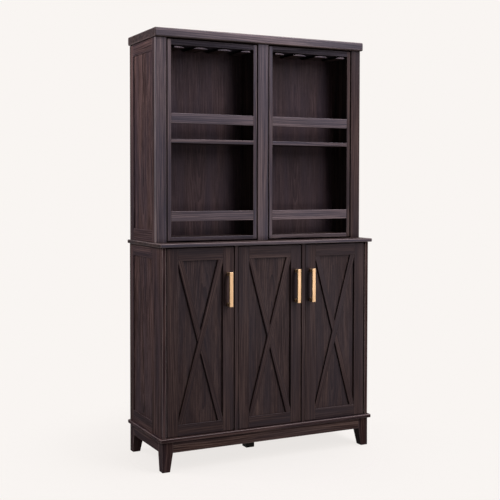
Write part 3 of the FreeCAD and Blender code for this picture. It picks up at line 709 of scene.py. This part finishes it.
def rackRail(low, high, middle, finger, seed):
    # a rail with a flat underside and an arc on top, cut where the rack ends, and the stem that hangs
    # it; the arc's radius is half its chord squared over twice the rise, plus half the rise
    half, rise = finger / 2, rackShape["domeRise"]
    radius = half * half / (2 * rise) + rise / 2
    crest = low[2] + rackShape["thick"]
    reach = np.linspace(half, -half, rackShape["domePoints"])
    dome = np.column_stack([middle + reach, crest - radius + np.sqrt(radius ** 2 - reach ** 2)])
    outline = np.vstack([[(middle - half, low[2]), (middle + half, low[2])], dome])
    outline = clip(outline, np.array([low[0], 0.0]), np.array([-1.0, 0.0]))
    outline = clip(outline, np.array([high[0], 0.0]), np.array([1.0, 0.0]))
    rail = slab(outline, low[1], high[1], rackShape["edge"])
    rail["grain"] = grainOf(rail["points"], 1, "straight", seed)
    width = rackShape["stem"] / 2
    hanger = board((middle - width, low[1] + rackShape["stemBack"], low[2] + rackShape["thick"] / 2),
                   (middle + width, high[1], high[2]), 1, rackShape["stemEdge"], "straight", seed + 1)
    return [shadeBehind(rail, low[1]), shadeBehind(hanger, low[1])]


for number, hand in enumerate(("left", "right")):
    stem, seed = f"display_{hand}", seeds["displays"] + displayRoom * number
    low, high = nodeBox(f"{stem}_guard_rails")
    tall, soft = guardRail["height"], guardRail["round"]
    rails = [board(low, (high[0], high[1], low[2] + tall), 0, soft, "straight", seed),
             board((low[0], low[1], high[2] - tall), high, 0, soft, "straight", seed + 1)]
    makePiece(f"{stem}_guard_rails.boards", [shadeBehind(rail, low[1]) for rail in rails],
              litRailWithShadedBack, stem, [f"{stem}_guard_rails"])
    low, high = nodeBox(f"{stem}_stemware_rack")
    # the two end rails are cut to a share of the width of the others
    count, slot, share = rackShape["rails"], rackShape["slot"], rackShape["endShare"]
    finger = (high[0] - low[0] - (count - 1) * slot) / (count - 2 + 2 * share)
    first = low[0] + finger * share - finger / 2
    parts = []
    for k in range(count):
        parts += rackRail(low, high, first + k * (finger + slot), finger, seed + 2 + 2 * k)
    makePiece(f"{stem}_stemware_rack.rails", parts, satinWithShadedBack,
              stem, [f"{stem}_stemware_rack"])
print("display boxes made")

# Concealed hinges: cups with screwed ears on the doors, plates and cranked arms on the walls
hingeShape = {
    "cup": 17.5, "cupDepth": 11.5, "cupTurns": 40,
    "ear": (18.0, 2.0, 12.0), "earEnd": 26.0, "earRound": 0.7,
    "screw": 3.6, "screwTurns": 20,
    "wallGap": 3.5, "clear": 0.3,
    "plate": (4.0, 48.0, 36.0), "plateRound": 1.4, "plateScrews": (0.62, 0.36),
    "crank": (31.5, 12.0, 14.0), "crankRound": 2.6,
    "arm": (6.0, 40.0, 13.0), "armRound": 2.2, "armBack": 5.0, "armSunk": 1.0, "armScrew": 0.75,
}
# heights in millimetres: with shares of a screw head's radius, and with distances in from a cup's edge
screwProfile = ((-0.4, 1.0), (0.3, 1.0), (0.9, 0.78), (1.2, 0.42), (0.6, 0.36))
cupRim = ((0.0, 0.2), (0.2, 0.0), (0.9, 0.0), (1.3, 0.5), (1.3, 2.8), (0.4, 3.2))


def screwHead(place, way):
    # a domed head with a sunk socket, turned; way is 0 for a head that faces +Y, or the sign of its X
    profile = [(height, share * hingeShape["screw"]) for height, share in screwProfile]
    part = lathe(profile, (0.0, 0.0, 0.0), hingeShape["screwTurns"])
    if way:
        part["points"] = part["points"][:, [1, 0, 2]] * np.array([way, -way, 1.0])
    part["points"] = part["points"] + np.array(place) * mm
    return part


def hingeCup(x, rear, level):
    # a turned cup with a raised rim, and a rounded ear with a screw above and below it
    cup, (earWidth, earThick, earHeight) = hingeShape["cup"], hingeShape["ear"]
    rim = [(height, cup - inside) for height, inside in cupRim]
    profile = [(-hingeShape["cupDepth"], rim[0][1])] + rim
    parts = [lathe(profile, (x, rear, level), hingeShape["cupTurns"])]
    earEnd = hingeShape["earEnd"]
    for way in (-1, 1):
        near, far = sorted((level + way * (earEnd - earHeight), level + way * earEnd))
        parts.append(board((x - earWidth / 2, rear, near), (x + earWidth / 2, rear + earThick, far), 2,
                           hingeShape["earRound"]))
        parts.append(screwHead((x, rear + earThick, (far + near) / 2), 0))
    return parts


def wallBlock(wall, way, reach, front, depth, level, height, radius):
    # a rounded block that stands out from a wall; way is the sign of X it stands towards
    near, far = sorted((wall + way * reach[0], wall + way * reach[1]))
    return board((near, front, level - height / 2), (far, front + depth, level + height / 2), 1, radius)


def hingeArm(wall, way, front, level):
    # a screwed plate, the crank that reaches to the cup, and the arm between them
    plate, crank, arm = hingeShape["plate"], hingeShape["crank"], hingeShape["arm"]
    armFront, armFoot = front + hingeShape["armBack"], plate[0] - hingeShape["armSunk"]
    face, top = wall + way * plate[0], wall + way * (plate[0] + arm[0])
    parts = [
        wallBlock(wall, way, (0.0, plate[0]), front, plate[1], level, plate[2],
                  hingeShape["plateRound"]),
        wallBlock(wall, way, (0.0, crank[0]), front, crank[1], level, crank[2],
                  hingeShape["crankRound"]),
        wallBlock(wall, way, (armFoot, plate[0] + arm[0]), armFront, arm[1], level, arm[2],
                  hingeShape["armRound"]),
    ]
    back, aside = hingeShape["plateScrews"]
    for rise in (-1, 1):
        parts.append(screwHead((face, front + back * plate[1], level + rise * aside * plate[2]), way))
    parts.append(screwHead((top, armFront + hingeShape["armScrew"] * arm[1], level), way))
    return parts


armParts = []
for hand, way in doorPlaces.items():
    stem = f"door_{hand}"
    low, high = nodeBox(f"{stem}_hinge_cups")
    frameLow, frameHigh = nodeBox(f"{stem}_frame")
    rear = frameHigh[1]
    wall = frameLow[0] - hingeShape["wallGap"] if way > 0 else frameHigh[0] + hingeShape["wallGap"]
    armStart = rear + hingeShape["ear"][1] + hingeShape["clear"]
    cupParts = []
    for level in (low[2] + hingeShape["earEnd"], high[2] - hingeShape["earEnd"]):
        cupParts += hingeCup((low[0] + high[0]) / 2, rear, level)
        armParts += hingeArm(wall, way, armStart, level)
    makePiece(f"{stem}_hinge_cups.set", cupParts, [steel], stem,
              [f"{stem}_hinge_cups"])
makePiece("hinge_arms.set", armParts, [steel], "carcass", ["hinge_arms"])
print("hinges made")

# Turned pins and sockets keep their CAD shape
metalNodes = {"shelf_pins": steel, "pivot_sockets": blackSteel,
              "display_left_pivots": blackSteel, "display_right_pivots": blackSteel}
for node, finish in metalNodes.items():
    mesh = frame["nodes"][node].data
    mesh.materials.clear()
    mesh.materials.append(finish)

# Stage: floor, world, lamps and camera
studio = {"background": "#f9f5f2", "floor": "#f4f1ef", "floorSpan": 3.0, "fade": (0.35, 1.15),
          "glow": 0.91, "glowShare": 0.93, "ambient": "#e9e7ea", "ambientLevel": 0.06}
span = studio["floorSpan"]
floorMesh = bpy.data.meshes.new("stageFloor")
floorCorners = [(-span, -span, 0), (span, -span, 0), (span, span, 0), (-span, span, 0)]
floorMesh.from_pydata(floorCorners, [], [[0, 1, 2, 3]])
floor = bpy.data.objects.new("stageFloor", floorMesh)
scene.collection.objects.link(floor)
# the floor fades into the background away from the object, so that no horizon shows
floorMaterial, tree = newMaterial("paleFloor")
place = addNode(tree, "ShaderNodeTexCoord").outputs["Object"]
distance = addNode(tree, "ShaderNodeVectorMath", {0: place}, operation="LENGTH").outputs["Value"]
near, far = studio["fade"]
fade = addNode(tree, "ShaderNodeMapRange", {
    0: distance, 1: near, 2: far, 3: 0.0, 4: 1.0,
}, interpolation_type="SMOOTHSTEP")
matte = addNode(tree, "ShaderNodeBsdfDiffuse", {"Color": hexLinear(studio["floor"])})
glow = addNode(tree, "ShaderNodeEmission", {
    "Color": hexLinear(studio["background"]), "Strength": studio["glow"],
})
clear = addNode(tree, "ShaderNodeBsdfTransparent")
lit = addNode(tree, "ShaderNodeMixShader", {
    0: studio["glowShare"], 1: matte.outputs[0], 2: glow.outputs[0],
})
faded = addNode(tree, "ShaderNodeMixShader", {
    0: fade.outputs[0], 1: lit.outputs[0], 2: clear.outputs[0],
})
addNode(tree, "ShaderNodeOutputMaterial", {0: faded.outputs[0]})
floorMesh.materials.append(floorMaterial)
floor.visible_glossy = False
floor.visible_diffuse = False

# the camera, metal and gloss see the background; everything else gets a faint even light
world = bpy.data.worlds.new("studioWorld")
scene.world = world
world.use_nodes = True
tree = world.node_tree
tree.nodes.clear()
rays = addNode(tree, "ShaderNodeLightPath").outputs
seen = addNode(tree, "ShaderNodeBackground", {
    "Color": hexLinear(studio["background"]), "Strength": 1.0,
})
ambient = addNode(tree, "ShaderNodeBackground", {
    "Color": hexLinear(studio["ambient"]), "Strength": studio["ambientLevel"],
})
shown = rays["Is Camera Ray"]
for ray in ("Is Glossy Ray", "Is Transmission Ray"):
    shown = addNode(tree, "ShaderNodeMath", {0: shown, 1: rays[ray]}, operation="MAXIMUM").outputs[0]
pick = addNode(tree, "ShaderNodeMixShader", {0: shown, 1: ambient.outputs[0], 2: seen.outputs[0]})
addNode(tree, "ShaderNodeOutputWorld", {0: pick.outputs[0]})

lamps = {
    "keyLamp": {"place": (2.3, -3.5, 3.7), "aim": (0.0, -0.1, 1.2), "size": (2.8, 2.8), "power": 238,
                "colour": "#fffaf6"},
    "sideLamp": {"place": (-2.2, 0.6, 2.4), "aim": (-0.5, 0.1, 1.6), "size": (1.4, 1.4), "power": 96,
                 "colour": "#faf2f4"},
    "topLamp": {"place": (1.2, -0.7, 3.8), "aim": (0.3, -0.2, 1.0), "size": (2.8, 1.4), "power": 210,
                "colour": "#fbf9ff"},
    "backLamp": {"place": (1.2, 3.2, 4.4), "aim": (0.0, 0.2, 1.0), "size": (3.0, 3.0), "power": 100,
                 "colour": "#fff8f2"},
    "stripLamp": {"place": (-2.7, -1.35, 1.1), "aim": (-0.5, -0.1, 0.9), "size": (0.3, 1.8), "power": 6,
                  "colour": "#fff6f0"},
    "lowLamp": {"place": (2.0, -3.3, 0.3), "aim": (0.1, -0.2, 0.4), "size": (1.2, 0.6), "power": 44,
                "colour": "#fff3ea"},
}
for name, lamp in lamps.items():
    light = bpy.data.lights.new(name, "AREA")
    light.shape = "RECTANGLE"
    light.size, light.size_y = lamp["size"]
    light.energy = lamp["power"]
    light.color = hexLinear(lamp["colour"])[:3]
    holder = bpy.data.objects.new(name, light)
    scene.collection.objects.link(holder)
    place, aim = np.array(lamp["place"]), np.array(lamp["aim"])
    holder.location = place
    toward = (aim - place) / np.linalg.norm(aim - place)
    holder.rotation_euler = (math.acos(-toward[2]), 0.0, math.atan2(toward[1], toward[0]) - math.pi / 2)

# The photo's own view: place in metres, turn to the right and upward tilt in radians, and lens shift
view = {"place": (-1.9167, -3.5896, 1.157), "turn": 0.4406, "tilt": -0.0326, "lens": 66.69,
        "sensor": 36.0, "shift": (0.0886, -0.0669), "far": 100.0}
camera = bpy.data.objects.new("photoCamera", bpy.data.cameras.new("photoCamera"))
scene.collection.objects.link(camera)
camera.data.sensor_width = view["sensor"]
camera.data.lens = view["lens"]
camera.data.shift_x, camera.data.shift_y = view["shift"]
camera.data.clip_end = view["far"]
camera.location = view["place"]
camera.rotation_euler = (math.pi / 2 + view["tilt"], 0.0, -view["turn"])
scene.camera = camera
scene.view_settings.view_transform = "Standard"
print("stage made")
